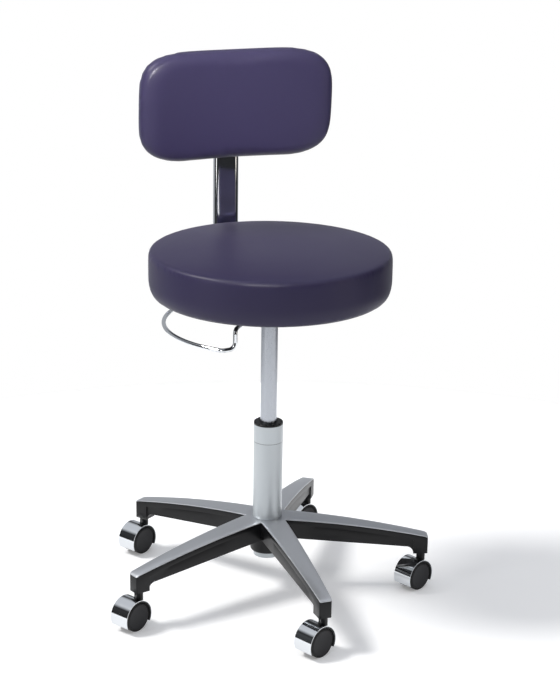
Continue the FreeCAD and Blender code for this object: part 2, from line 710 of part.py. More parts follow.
def backrest():
    """The pad on its board, screwed to a sleeve that slides on the post and is held by a hand knob."""
    depth = value("back_board") + value("back_pad")
    lean = Rotation(Vector(1, 0, 0), value("back_lean"))
    centre = Vector(0, value("back_plane"), value("back_centre"))
    place = Placement(centre - lean.multVec(Vector(0, depth, 0)), lean)
    node(curved_slab("back_cushion", "0", "0", "back_pad"), "back_cushion", place)
    middle = "(sleeve_bottom + sleeve_top) / 2"
    pilots, screws = [], []
    for k, (sx, sz) in enumerate(BOLT_SIDES, start=1):
        x, z = f"{sx} * screw_x", f"{middle} + {sz} * screw_rise"
        pilots.append(rod(f"pilot_{k}", "pilot_radius", "back_board", x, "back_pad + 2",
                          f"{z} - back_centre", along="Y"))
        start = "post_axis - sleeve_depth / 2 + 3"
        shank = rod(f"screw_shank_{k}", "screw_radius", "screw_length", x, f"{start} - screw_length", z,
                    along="Y")
        head = rod(f"screw_head_{k}", "screw_head", "screw_head_depth", x, start, z, along="Y")
        screws.append(fused(f"screw_{k}", shank, head))
    slab = curved_slab("board_slab", "board_inset", "back_pad", "back_pad + back_board")
    node(less("drilled_board", slab, *pilots), "back_board", place)
    group = doc.addObject("Part::Compound", "back_screw_set")
    group.Links = screws
    node(group, "back_screws")

    outer = soft_rectangle("sleeve_outer", "sleeve_width", "sleeve_depth", "post_corner + 3", "0",
                           "sleeve_top - sleeve_bottom", "post_axis")
    outer.Placement = Placement(Vector(0, 0, value("sleeve_bottom")), Rotation())
    slope = math.tan(math.radians(value("back_lean")))
    face = "post_axis - sleeve_depth / 2"
    low, high = "sleeve_bottom + 4", "sleeve_top + 8"
    wedge = plate("sleeve_wedge", "YZ_Plane", [
        (f"back_plane + (back_centre - ({low})) * {slope:.6f} + 0.6", low), (f"{face} + 3", low),
        (f"{face} + 3", "sleeve_top"), (f"{face} - 1", "sleeve_top + 2"), (f"{face} - 1", high),
        (f"back_plane + (back_centre - ({high})) * {slope:.6f} + 0.6", high)],
        "sleeve_width + 34", midplane=True)
    slot = soft_rectangle("sleeve_slot", "post_width + 2 * sleeve_gap", "post_depth + 2 * sleeve_gap",
                          "post_corner + sleeve_gap", "0", "3 * back_height", "post_axis")
    slot.Placement = Placement(Vector(0, 0, value("back_centre - 1.5 * back_height")), Rotation())
    stud_hole = rod("stud_hole", "stud_radius + 0.06", "40", y="post_axis + post_depth / 2 - 0.5", z=middle,
                    along="Y")
    holes = [rod(f"screw_hole_{k}", "screw_radius", "30", f"{sx} * screw_x", "back_plane - 8",
                 f"{middle} + {sz} * screw_rise", along="Y")
             for k, (sx, sz) in enumerate(BOLT_SIDES, start=1)]
    node(less("bored_sleeve", fused("sleeve_body", outer, wedge), slot, stud_hole, *holes), "back_sleeve")

    knob = turned("clamp_knob", [
        ("0", "post_axis + post_depth / 2 + 0.3"), ("stud_radius", "post_axis + post_depth / 2 + 0.3"),
        ("stud_radius", "knob_start - 2"), ("stud_radius + 4", "knob_start - 2"),
        ("stud_radius + 5", "knob_start"), ("knob_radius - 1.5", "knob_start"),
        ("knob_radius", "knob_start + 1.5"), ("knob_radius", "knob_start + knob_depth - 3"),
        ("knob_radius - 3", "knob_start + knob_depth", "3", 1), ("0", "knob_start + knob_depth")],
        role="XY_Plane")
    flute = plane_sketch(knob, "XZ_Plane", "knob_flute")
    reach, radius = "knob_radius + flute_offset", "flute_radius"
    circle = Part.Circle(Vector(value(reach), 0, 0), Vector(0, 0, 1), value(radius))
    flute.addGeometry(circle, False)
    flute.addConstraint(Sketcher.Constraint("PointOnObject", 0, 3, -1))
    held = flute.addConstraint(Sketcher.Constraint("DistanceX", -1, 1, 0, 3, value(reach)))
    flute.setExpression(f"Constraints[{held}]", bound(reach))
    held = flute.addConstraint(Sketcher.Constraint("Radius", 0, value(radius)))
    flute.setExpression(f"Constraints[{held}]", bound(radius))
    repeated_cut(knob, flute, "2 * (knob_start + knob_depth + 5)", "N_Axis", KNOB_FLUTES)
    node(knob, "clamp_knob", Placement(Vector(0, 0, value(middle)), Rotation()))


# ---------------------------------------------------------------- casters

def fan(name, inner, outer, half):
    """A band round the wheel axle from the front edge over the top to the rear edge."""
    body = doc.addObject("PartDesign::Body", name)

    def at(radius, angle):
        turn = math.radians(angle)
        return (f"({radius}) * {math.cos(turn):.9f} - trail",
                f"({radius}) * {math.sin(turn):.9f} + wheel_radius")

    middle = (HOOD_FROM + HOOD_TO) / 2
    sketch = body_sketch(body, "XZ_Plane", [
        at(inner, HOOD_TO), at(inner, middle) + (inner, -1), at(inner, HOOD_FROM) + (inner, -1),
        at(outer, HOOD_FROM), at(outer, middle) + (outer, 1), at(outer, HOOD_TO) + (outer, 1)])
    pad = body.newObject("PartDesign::Pad", name + "_pad")
    pad.Profile = (sketch, [""])
    pad.Midplane = True
    bind(pad, Length=f"2 * ({half})")
    return body


def caster(index, angle, heading):
    """One twin-wheel caster, in a frame with the stem axis on Z and the wheels trailing towards -X."""
    place = Placement(polar(value("stem_circle"), angle), Rotation(Vector(0, 0, 1), heading))
    tag = f"_{index}"
    node(turned("stem" + tag, [
        ("0", "neck_bottom"), ("stem_neck", "neck_bottom"), ("stem_neck", "horn_top"),
        ("stem_radius", "horn_top"), ("stem_radius", "ring_bottom - 0.2"),
        ("groove_radius", "ring_bottom - 0.2"), ("groove_radius", "ring_bottom + ring_depth + 0.2"),
        ("stem_radius", "ring_bottom + ring_depth + 0.2"), ("stem_radius", "stem_top - 1.5"),
        ("stem_radius - 1.5", "stem_top"), ("0", "stem_top")]), "caster_stem" + tag, place)

    horn = turned("horn" + tag, [
        ("0", "wheel_radius"), ("horn_radius", "wheel_radius"), ("horn_radius", "horn_top - 1.5"),
        ("horn_radius - 1.5", "horn_top"), ("0", "horn_top")])
    shell = fused("shell" + tag, horn, fan("fender" + tag, "fender_inner", "fender_outer", "fender_half"))
    wheel_space = rod("wheel_space" + tag, "fender_inner", "60", "-trail", "-30", "wheel_radius", along="Y")
    hollow = less("hollow_shell" + tag, shell, wheel_space)
    disc = rod("web_disc" + tag, "fender_inner + 1", "2 * web_half", "-trail", "-web_half", "wheel_radius",
               along="Y")
    keep = block("web_keep" + tag, ("-60", "-web_half", "web_floor"), ("20", "web_half", "horn_top"))
    web = shared("web" + tag, disc, keep)
    bores = [rod("axle_hole" + tag, "axle_radius", "20", "-trail", "-10", "wheel_radius", along="Y"),
             rod("neck_hole" + tag, "stem_neck", "20", z="neck_bottom")]
    solid = fused("body_solid" + tag, hollow, web)
    node(less("caster_body" + tag, solid, *bores), "caster_body" + tag, place)

    notch = fused("notch" + tag,
                  rod("notch_round" + tag, "horn_radius + 0.5", "60", z="web_floor"),
                  block("notch_slot" + tag, ("0", "-horn_radius - 0.5", "web_floor"),
                        ("30", "horn_radius + 0.5", "horn_top")))
    hood = less("caster_hood" + tag, fan("hood_band" + tag, "hood_inner", "hood_outer", "hood_half"), notch)
    node(hood, "caster_hood" + tag, place)

    hub = place.multiply(Placement(Vector(-value("trail"), 0, value("wheel_radius")), Rotation()))
    node(turned("axle" + tag, [
        ("0", "-axle_half"), ("axle_radius", "-axle_half"), ("axle_radius", "axle_half"),
        ("0", "axle_half")], role="XY_Plane"), "caster_axle" + tag, hub)
    for side, sign in (("left", 1), ("right", -1)):
        wheel = turned(f"wheel_{side}" + tag, [
            ("axle_bore", f"{sign} * wheel_inner"), ("wheel_radius - 1.5", f"{sign} * wheel_inner"),
            ("wheel_radius", f"{sign} * (wheel_inner + 1.5)"),
            ("wheel_radius", f"{sign} * (wheel_outer - 1.2)"),
            ("wheel_radius - 1.2", f"{sign} * wheel_outer", "1.2", sign), ("0", f"{sign} * wheel_outer"),
            ("0", f"{sign} * (axle_half + 0.2)"), ("axle_bore", f"{sign} * (axle_half + 0.2)")],
            role="XY_Plane")
        node(wheel, f"caster_wheel_{side}" + tag, hub)


def casters():
    """The five casters, and the grip rings that hold their stems in the arms."""
    rings = []
    for index, (angle, heading) in enumerate(zip(ARM_ANGLES, CASTER_HEADINGS), start=1):
        caster(index, angle, heading)
        ring = turned(f"ring_{index}", [
            ("ring_inner", "ring_bottom"), ("socket_radius", "ring_bottom"),
            ("socket_radius", "ring_bottom + ring_depth"), ("ring_inner", "ring_bottom + ring_depth")])
        ring.Placement = Placement(polar(value("stem_circle"), angle), Rotation())
        rings.append(ring)
    group = doc.addObject("Part::Compound", "grip_ring_set")
    group.Links = rings
    node(group, "grip_rings")


base()
column()
seat()
lever()
post()
backrest()
casters()
doc.recompute()

for obj in doc.Objects:
    faults = [state for state in obj.State if state in ("Invalid", "Error")]
    if faults:
        raise RuntimeError(f"{obj.Label}: {faults}")
for obj in nodes:
    if obj.Shape.isNull() or not obj.Shape.isValid() or obj.Shape.Volume <= 0:
        raise RuntimeError(f"{obj.Label}: no valid solid")

os.makedirs("parts", exist_ok=True)
for obj in nodes:
    obj.Shape.exportStep(f"parts/{obj.Label}.step")
    print(f"{obj.Label}: {len(obj.Shape.Solids)} solid(s), {obj.Shape.Volume / 1000:.2f} cm3")
print(f"{len(nodes)} sub-parts")
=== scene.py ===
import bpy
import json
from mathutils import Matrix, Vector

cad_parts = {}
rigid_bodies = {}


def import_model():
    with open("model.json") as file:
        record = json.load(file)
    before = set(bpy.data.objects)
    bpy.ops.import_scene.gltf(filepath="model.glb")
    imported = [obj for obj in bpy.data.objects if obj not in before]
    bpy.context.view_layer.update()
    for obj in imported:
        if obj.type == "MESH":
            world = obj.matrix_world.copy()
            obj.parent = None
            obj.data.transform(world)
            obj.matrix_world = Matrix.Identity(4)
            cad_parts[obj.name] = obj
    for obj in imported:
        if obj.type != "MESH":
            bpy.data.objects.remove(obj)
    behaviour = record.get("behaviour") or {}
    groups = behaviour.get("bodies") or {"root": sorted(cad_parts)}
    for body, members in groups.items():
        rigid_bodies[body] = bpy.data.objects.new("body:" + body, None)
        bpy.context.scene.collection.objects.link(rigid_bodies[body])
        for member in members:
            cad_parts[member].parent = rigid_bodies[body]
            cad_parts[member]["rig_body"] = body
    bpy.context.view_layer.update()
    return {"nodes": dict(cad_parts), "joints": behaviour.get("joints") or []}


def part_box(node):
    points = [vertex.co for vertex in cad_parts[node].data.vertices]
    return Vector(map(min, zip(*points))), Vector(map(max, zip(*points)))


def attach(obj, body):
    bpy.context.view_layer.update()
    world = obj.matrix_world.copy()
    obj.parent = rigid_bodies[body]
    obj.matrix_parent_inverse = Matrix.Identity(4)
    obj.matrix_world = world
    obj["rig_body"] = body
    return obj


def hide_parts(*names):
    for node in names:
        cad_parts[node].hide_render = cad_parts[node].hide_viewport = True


bl_info = {
    "name": "Operator Stool",
    "version": (1, 0, 0),
    "blender": (4, 5, 0),
    "location": "View3D > Sidebar > Stool",
    "description": "Builds the upholstery, finishes and studio round the frame of an operator stool",
    "category": "Add Mesh",
}

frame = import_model()

import json
import math

import bmesh
import bpy
from bpy.props import FloatProperty, FloatVectorProperty, PointerProperty
from mathutils import Matrix, Vector

MM = 0.001
CASTERS = range(1, 6)
STAPLES = 44
CLOTH_FRAMES = 20
JOINTS = {joint["name"]: joint for joint in frame["joints"]}


def linear(code):
    """An sRGB hex colour as linear RGBA."""
    parts = [int(code[i:i + 2], 16) / 255 for i in (1, 3, 5)]
    return tuple(c / 12.92 if c <= 0.04045 else ((c + 0.055) / 1.055) ** 2.4 for c in parts) + (1.0,)


def colour(name, description, code):
    """A colour property whose default is an sRGB hex value."""
    return FloatVectorProperty(
        name=name, description=description, subtype="COLOR", size=4, min=0, max=1, default=linear(code))


def length(name, description, millimetres):
    """A length property whose default is in millimetres."""
    return FloatProperty(name=name, description=description, unit="LENGTH", default=millimetres * MM)


# ------------------------------------------------------------------ sizes and colours a user changes

class StoolUpholstery(bpy.types.PropertyGroup):
    """Sizes of the two padded covers"""

    seat_crown: length("Seat crown", "How far the middle of the seat stands above its edge", 3)
    seat_edge: length("Seat edge", "Radius of the soft edge round the top of the seat", 7)
    seat_tuck: length("Seat tuck", "How far the cover draws in at the seat's lower edge", 11)
    seat_rise: length("Seat rise", "Height over which the cover draws in", 30)
    seat_hem: length("Seat hem", "Width of the vinyl turned under and stapled to the pan", 17)
    back_width: length("Back width", "Width of the backrest", 346)
    back_height: length("Back height", "Height of the backrest", 186)
    back_depth: length("Back depth", "Thickness of the padded part of the backrest", 33)
    back_edge: length("Back edge", "Radius of the soft edge round the front of the backrest", 16)
    back_hollow: length("Back hollow", "Radius that the backrest curves round the sitter", 1200)
    back_lean: FloatProperty(
        name="Back lean", description="How far the top of the backrest leans forward", subtype="ANGLE",
        default=math.radians(4))
    weave: length("Mesh size", "Edge length of the mesh that the cloth is worked out on", 4)
    pressure: FloatProperty(name="Pressure", description="Push of the foam on the cover", default=4.0)
    swell: length("Swell", "Furthest that the foam may push the cover out", 4)


class StoolFinishes(bpy.types.PropertyGroup):
    """Colours of the finishes"""

    vinyl: colour("Vinyl", "Upholstery", "#2A2640")
    coat: colour("Powder coat", "Black coat on the star base", "#0A0A0D")
    aluminium: colour("Aluminium", "Polished faces of the arms", "#C9CCD1")
    lacquer: colour("Lacquer", "Silver lacquer on the column", "#BFC5C9")
    steel: colour("Steel", "Ground and plated steel", "#B4B8BF")
    chrome: colour("Chrome", "Chromium plate", "#DDE0E3")
    nylon: colour("Nylon", "Black mouldings", "#09090B")
    disc: colour("Wheel disc", "Caps pressed into the wheels", "#17171B")


class StoolStage(bpy.types.PropertyGroup):
    """The camera and the light"""

    camera_place: FloatVectorProperty(
        name="Camera place", description="Where the camera stands", subtype="TRANSLATION", unit="LENGTH",
        default=(-1.0649, -2.9040, 1.4346))
    heading: FloatProperty(
        name="Heading", description="Turn of the view from straight ahead", subtype="ANGLE",
        default=math.radians(20.47))
    dip: FloatProperty(
        name="Dip", description="How far the camera looks down", subtype="ANGLE", default=math.radians(17.95))
    roll: FloatProperty(
        name="Roll", description="Tilt of the camera about its own view", subtype="ANGLE",
        default=math.radians(0.85))
    lens: FloatProperty(name="Lens", description="Focal length in millimetres", default=99.02)
    sun: FloatProperty(
        name="Key light", description="Strength of the main light from high at the back left", default=2.3)
    strips: FloatProperty(
        name="Strip lights", description="Strength of the tall side lights in watts", default=11)
    fill: FloatProperty(name="Fill light", description="Strength of the front fill in watts", default=3)
    back_light: FloatProperty(
        name="Backrest light", description="Strength of the light on the backrest in watts", default=3.5)
    sky: FloatProperty(name="Surround", description="Strength of the light from overhead", default=0.75)
    backdrop: FloatProperty(
        name="Backdrop", description="Strength of the pale wall behind the stool", default=0.45)
    floor_glow: FloatProperty(
        name="Floor glow", description="Light that comes up through the floor", default=0.22)
    floor_reach: length("Floor reach", "Radius of the white floor", 1500)


# ------------------------------------------------------------------ material helpers

def add_node(tree, kind, sockets=None, to=None, out=0, **settings):
    """Add one node with its settings, its inputs and its output's link; the output socket comes back."""
    made = tree.nodes.new(kind)
    for name, value in settings.items():
        setattr(made, name, value)
    for socket, source in (sockets or {}).items():
        if isinstance(source, bpy.types.NodeSocket):
            tree.links.new(source, made.inputs[socket])
        else:
            made.inputs[socket].default_value = source
    if to is not None:
        tree.links.new(made.outputs[out], to)
    return made.outputs[out]


def start_material(name, base, metallic, roughness, **constants):
    """A Principled material, as its tree, its shader's inputs and the object coordinates."""
    material = bpy.data.materials.new(name)
    material.use_nodes = True
    tree = material.node_tree
    shader = tree.nodes["Principled BSDF"].inputs
    shader["Base Color"].default_value = base
    shader["Metallic"].default_value = metallic
    shader["Roughness"].default_value = roughness
    for socket, value in constants.items():
        shader[socket].default_value = value
    return tree, shader, add_node(tree, "ShaderNodeTexCoord", out="Object")


def dimmed(base, factor):
    """A colour made darker or lighter."""
    return tuple(min(1.0, channel * factor) for channel in base[:3]) + (1.0,)


def per_metre(millimetres):
    """Texture scale for a feature of this size."""
    return 1000 / millimetres


# ------------------------------------------------------------------ finishes

def coated_vinyl(base):
    """Vinyl-coated fabric, calendered almost smooth: a soft satin sheen over a very fine hide grain."""
    tree, shader, place = start_material("coated vinyl", base, 0.0, 0.42, **{
        "IOR": 1.5, "Specular IOR Level": 0.25, "Sheen Weight": 0.03, "Sheen Roughness": 0.4})
    # Hide grain is about 0.7 mm across; it is drawn at 1.2 mm so that it shows.
    grain = add_node(tree, "ShaderNodeTexVoronoi", {"Vector": place, "Scale": per_metre(1.2)},
                     feature="SMOOTH_F1")
    # The cover lies over its foam in very shallow waves.
    drape = add_node(tree, "ShaderNodeTexNoise", {
        "Vector": place, "Scale": per_metre(70), "Detail": 1.0})
    under = add_node(tree, "ShaderNodeBump", {
        "Height": drape, "Strength": 0.06, "Distance": 1.0 * MM}, out="Normal")
    add_node(tree, "ShaderNodeBump", {"Height": grain, "Strength": 0.08, "Distance": 0.08 * MM,
                                      "Normal": under}, to=shader["Normal"])
    cloud = add_node(tree, "ShaderNodeTexNoise", {"Vector": place, "Scale": per_metre(130), "Detail": 3.0})
    add_node(tree, "ShaderNodeMix", {0: cloud, 6: dimmed(base, 0.94), 7: dimmed(base, 1.06)},
             to=shader["Base Color"], out=2, data_type="RGBA")
    add_node(tree, "ShaderNodeMapRange", {"Value": cloud, "To Min": 0.38, "To Max": 0.46},
             to=shader["Roughness"])


def powder_coat(base):
    """Black polyester powder coat over the casting: satin, with a faint orange peel."""
    tree, shader, place = start_material("black powder coat", base, 0.0, 0.34, **{"Specular IOR Level": 0.3})
    peel = add_node(tree, "ShaderNodeTexNoise", {"Vector": place, "Scale": per_metre(2.4), "Detail": 2.0})
    add_node(tree, "ShaderNodeBump", {"Height": peel, "Strength": 0.15, "Distance": 0.12 * MM},
             to=shader["Normal"])
    add_node(tree, "ShaderNodeMapRange", {"Value": peel, "To Min": 0.28, "To Max": 0.4},
             to=shader["Roughness"])


def polished_aluminium(base):
    """Die-cast aluminium, linished and then buffed: bright, with a soft even haze."""
    tree, shader, place = start_material("polished aluminium", base, 0.85, 0.36)
    haze = add_node(tree, "ShaderNodeTexNoise", {"Vector": place, "Scale": per_metre(14), "Detail": 3.0})
    add_node(tree, "ShaderNodeMapRange", {"Value": haze, "To Min": 0.32, "To Max": 0.42},
             to=shader["Roughness"])
    # Linishing marks are finer than 0.1 mm; they are drawn at 0.6 mm and kept faint.
    grit = add_node(tree, "ShaderNodeTexNoise", {"Vector": place, "Scale": per_metre(0.6), "Detail": 1.0})
    add_node(tree, "ShaderNodeBump", {"Height": grit, "Strength": 0.02, "Distance": 0.02 * MM},
             to=shader["Normal"])


def silver_lacquer(base):
    """Silver stove lacquer with a fine metal flake: pale, even and satin."""
    tree, shader, place = start_material("silver lacquer", base, 0.5, 0.36, **{
        "Coat Weight": 0.3, "Coat Roughness": 0.2})
    flake = add_node(tree, "ShaderNodeTexNoise", {"Vector": place, "Scale": per_metre(0.8), "Detail": 1.0})
    add_node(tree, "ShaderNodeBump", {"Height": flake, "Strength": 0.05, "Distance": 0.03 * MM},
             to=shader["Normal"])
    add_node(tree, "ShaderNodeMapRange", {"Value": flake, "To Min": 0.34, "To Max": 0.42},
             to=shader["Roughness"])


def silver_foil(base):
    """Plain metallised foil wrapped round the tube, with one fine ruled line along its lower edge."""
    tree, shader, place = start_material("silver foil", base, 0.6, 0.3)
    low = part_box("column_band")[0].z
    height = add_node(tree, "ShaderNodeSeparateXYZ", {"Vector": place}, out="Z")
    line = add_node(tree, "ShaderNodeMath", {0: height, 1: low + 1.0 * MM, 2: 0.5 * MM},
                    operation="COMPARE")
    add_node(tree, "ShaderNodeMix", {0: line, 6: base, 7: linear("#7C8186")}, to=shader["Base Color"],
             out=2, data_type="RGBA")
    crimp = add_node(tree, "ShaderNodeTexNoise", {"Vector": place, "Scale": per_metre(6), "Detail": 2.0})
    add_node(tree, "ShaderNodeMapRange", {"Value": crimp, "To Min": 0.28, "To Max": 0.37},
             to=shader["Roughness"])


def worked_steel(name, base, roughness, grain_mm, metallic=1.0):
    """Steel that has been ground, plated or painted, with a fine even grain in its sheen."""
    tree, shader, place = start_material(name, base, metallic, roughness)
    grain = add_node(tree, "ShaderNodeTexNoise", {"Vector": place, "Scale": per_metre(grain_mm), "Detail": 2.0})
    add_node(tree, "ShaderNodeMapRange", {"Value": grain, "To Min": roughness * 0.85,
                                          "To Max": roughness * 1.15}, to=shader["Roughness"])
    add_node(tree, "ShaderNodeBump", {"Height": grain, "Strength": 0.05, "Distance": 0.03 * MM},
             to=shader["Normal"])


def chromium_plate(base):
    """Chromium over polished nickel: a mirror with the faintest haze."""
    tree, shader, place = start_material("chromium plate", base, 1.0, 0.06)
    haze = add_node(tree, "ShaderNodeTexNoise", {"Vector": place, "Scale": per_metre(15), "Detail": 2.0})
    add_node(tree, "ShaderNodeMapRange", {"Value": haze, "To Min": 0.04, "To Max": 0.09},
             to=shader["Roughness"])


def moulding(name, base, roughness, grain_mm):
    """Injection-moulded nylon, ABS or rubber with the fine texture of its mould."""
    tree, shader, place = start_material(name, base, 0.0, roughness, **{
        "IOR": 1.53, "Specular IOR Level": 0.3})
    texture = add_node(tree, "ShaderNodeTexNoise", {"Vector": place, "Scale": per_metre(grain_mm),
                                                    "Detail": 2.0})
    add_node(tree, "ShaderNodeBump", {"Height": texture, "Strength": 0.1, "Distance": 0.06 * MM},
             to=shader["Normal"])
    add_node(tree, "ShaderNodeMapRange", {"Value": texture, "To Min": roughness - 0.05,
                                          "To Max": roughness + 0.06}, to=shader["Roughness"])


def birch_plywood(base):
    """Sanded birch plywood, unsealed: matt, with long pale grain across the board."""
    tree, shader, place = start_material("birch plywood", base, 0.0, 0.62)
    along = add_node(tree, "ShaderNodeMapping", {"Vector": place, "Scale": (1.0, 0.06, 1.0)})
    figure = add_node(tree, "ShaderNodeTexNoise", {"Vector": along, "Scale": per_metre(6), "Detail": 4.0,
                                                   "Distortion": 0.6})
    add_node(tree, "ShaderNodeMix", {0: figure, 6: dimmed(base, 0.7), 7: dimmed(base, 1.2)},
             to=shader["Base Color"], out=2, data_type="RGBA")
    add_node(tree, "ShaderNodeBump", {"Height": figure, "Strength": 0.1, "Distance": 0.1 * MM},
             to=shader["Normal"])


# ------------------------------------------------------------------ mesh helpers

def linked(name, bm):
    """An object at the origin made from a bmesh."""
    mesh = bpy.data.meshes.new(name)
    bm.to_mesh(mesh)
    bm.free()
    piece = bpy.data.objects.new(name, mesh)
    bpy.context.scene.collection.objects.link(piece)
    return piece


def dressed(piece, finish, node, smooth=30):
    """Give a piece its finish, its smoothing and the body of a CAD node."""
    piece.data.materials.clear()
    piece.data.materials.append(bpy.data.materials[finish])
    piece.data.shade_smooth()
    if smooth:
        piece.data.set_sharp_from_angle(angle=math.radians(smooth))
    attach(piece, frame["nodes"][node]["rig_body"])
    return piece


def merged_copy(node):
    """A bmesh of a CAD node with its loose triangles joined and its flat faces made whole."""
    bm = bmesh.new()
    bm.from_mesh(frame["nodes"][node].data)
    bmesh.ops.remove_doubles(bm, verts=bm.verts, dist=0.01 * MM)
    bmesh.ops.dissolve_limit(bm, angle_limit=math.radians(0.4), verts=bm.verts, edges=bm.edges)
    return bm


def eased(node, finish, width):
    """A copy of a CAD node with its sharp edges rounded over, which stands in for the node."""
    bm = merged_copy(node)
    least = math.radians(35)
    sharp = [edge for edge in bm.edges if edge.is_manifold and edge.calc_face_angle(0) > least]
    bmesh.ops.bevel(bm, geom=sharp, offset=width * MM, offset_type="OFFSET", affect="EDGES",
                    segments=2, profile=0.5, material=-1, clamp_overlap=True, loop_slide=True)
    bmesh.ops.triangulate(bm, faces=[face for face in bm.faces if len(face.verts) > 4])
    piece = dressed(linked(node + "_eased", bm), finish, node)
    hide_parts(node)


def spun(profile, steps=96):
    """A bmesh turned about Z from corners in radius and height, open or closed on the axis."""
    bm = bmesh.new()
    chain = [bm.verts.new((radius, 0, height)) for radius, height in profile]
    edges = [bm.edges.new(pair) for pair in zip(chain, chain[1:])]
    bmesh.ops.spin(bm, geom=chain + edges, axis=(0, 0, 1), cent=(0, 0, 0), angle=math.tau, steps=steps,
                   use_merge=True, use_duplicate=False)
    bmesh.ops.remove_doubles(bm, verts=bm.verts, dist=0.01 * MM)
    bmesh.ops.recalc_face_normals(bm, faces=bm.faces)
    return bm


def arc(centre, across, rise, first, last, count=8):
    """Corners of a rounded turn in radius and height, between two angles in degrees."""
    turns = [math.radians(first + (last - first) * k / count) for k in range(count + 1)]
    return [(centre[0] + across * math.cos(turn), centre[1] + rise * math.sin(turn)) for turn in turns]


# ------------------------------------------------------------------ upholstery

def remeshed(piece, voxel):
    """Turn a closed form into an even mesh of small faces."""
    remesh = piece.modifiers.new("even mesh", "REMESH")
    remesh.mode = "VOXEL"
    remesh.voxel_size = voxel
    even = bpy.data.meshes.new_from_object(piece.evaluated_get(bpy.context.evaluated_depsgraph_get()))
    piece.modifiers.clear()
    piece.data = even


def relaxed(mesh, rounds):
    """Even out a cover's mesh."""
    bm = bmesh.new()
    bm.from_mesh(mesh)
    for _ in range(rounds):
        bmesh.ops.smooth_vert(bm, verts=bm.verts, factor=0.5, use_axis_x=True, use_axis_y=True,
                              use_axis_z=True)
    bm.to_mesh(mesh)
    bm.free()


def swollen(piece, settings, pinned):
    """Let the foam push a cover out from inside; the part that is fastened down stays where it is."""
    scene = bpy.context.scene
    rest = [vertex.co.copy() for vertex in piece.data.vertices]
    held = piece.vertex_groups.new(name="held")
    held.add([index for index, place in enumerate(rest) if pinned(place)], 1.0, "REPLACE")
    cloth = piece.modifiers.new("foam", "CLOTH")
    cloth.settings.quality = 6
    cloth.settings.mass = 0.3
    cloth.settings.tension_stiffness = 4
    cloth.settings.compression_stiffness = 4
    cloth.settings.shear_stiffness = 2
    cloth.settings.bending_stiffness = 8
    cloth.settings.use_pressure = True
    cloth.settings.uniform_pressure_force = settings.pressure
    cloth.settings.vertex_group_mass = held.name
    cloth.settings.effector_weights.gravity = 0
    cloth.collision_settings.use_collision = False
    for step in range(1, CLOTH_FRAMES + 1):
        scene.frame_set(step)
    shaped = bpy.data.meshes.new_from_object(piece.evaluated_get(bpy.context.evaluated_depsgraph_get()))
    piece.modifiers.clear()
    piece.vertex_groups.clear()
    for vertex, before, after in zip(piece.data.vertices, rest, shaped.vertices):
        shift = after.co - before
        if shift.length > 0:
            shift *= math.tanh(shift.length / settings.swell) * settings.swell / shift.length
        vertex.co = before + shift
    bpy.data.meshes.remove(shaped)
    scene.frame_set(1)


def fitted(piece, node):
    """Bring a cover to the outside size and place of its CAD node."""
    box = [Vector(map(pick, zip(*(vertex.co for vertex in piece.data.vertices)))) for pick in (min, max)]
    low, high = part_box(node)
    for vertex in piece.data.vertices:
        for axis in range(3):
            share = (vertex.co[axis] - box[0][axis]) / (box[1][axis] - box[0][axis])
            vertex.co[axis] = low[axis] + share * (high[axis] - low[axis])


def covered(piece, node):
    """Finish a cover with one subdivision, its vinyl and its place on the frame."""
    dressed(piece, "coated vinyl", node, smooth=0)
    skin = piece.modifiers.new("smooth skin", "SUBSURF")
    skin.levels = skin.render_levels = 1
    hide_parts(node)


class STOOL_OT_seat_cover(bpy.types.Operator):
    """Make the round seat cushion: vinyl drawn over foam and down round the seat pan"""

    bl_idname = "stool.seat_cover"
    bl_label = "Seat Cover"

    def execute(self, context):
        settings = context.scene.stool_upholstery
        low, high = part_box("seat_cushion")
        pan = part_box("seat_pan")[1]
        inset = settings.swell * 0.5
        side = high.x - inset
        top = high.z - inset - settings.seat_crown
        edge = settings.seat_edge
        inner = pan.x + 0.5 * MM
        profile = [(0, pan.z + 0.5 * MM), (inner, pan.z + 0.5 * MM), (inner, low.z), (side, low.z)]
        profile += arc((side - edge, top - edge), edge, edge, 0, 90)
        profile += [(side * 0.5, top + settings.seat_crown * 0.75), (0, top + settings.seat_crown)]
        piece = linked("seat_upholstery", spun(profile))
        remeshed(piece, settings.weave)
        relaxed(piece.data, 3)

        def held(at):
            """The seam under the seat, the foam's stiff rim and the skin against the pan stay in place."""
            reach = math.hypot(at.x, at.y)
            on_seam = at.z < low.z + 6 * MM
            on_rim = math.hypot(reach - side, at.z - top) < 1.4 * edge
            return on_seam or on_rim or (at.z < pan.z + 4 * MM and reach < side - 6 * MM)

        swollen(piece, settings, held)
        relaxed(piece.data, 2)
        fitted(piece, "seat_cushion")
        self.draw_in(piece.data, settings, inner, low.z)
        covered(piece, "seat_cushion")
        return {"FINISHED"}

    def draw_in(self, mesh, settings, inner, seam):
        """Draw the skirt of the cover in to the edge of the pan."""
        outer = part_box("seat_cushion")[1].x
        for vertex in mesh.vertices:
            reach = math.hypot(vertex.co.x, vertex.co.y)
            drop = 1 - (vertex.co.z - seam) / settings.seat_rise
            if reach > inner and drop > 0:
                pull = settings.seat_tuck * (1 - math.sqrt(1 - min(drop, 0.99) ** 2))
                pull *= (reach - inner) / (outer - inner) / reach
                vertex.co.x -= vertex.co.x * pull
                vertex.co.y -= vertex.co.y * pull


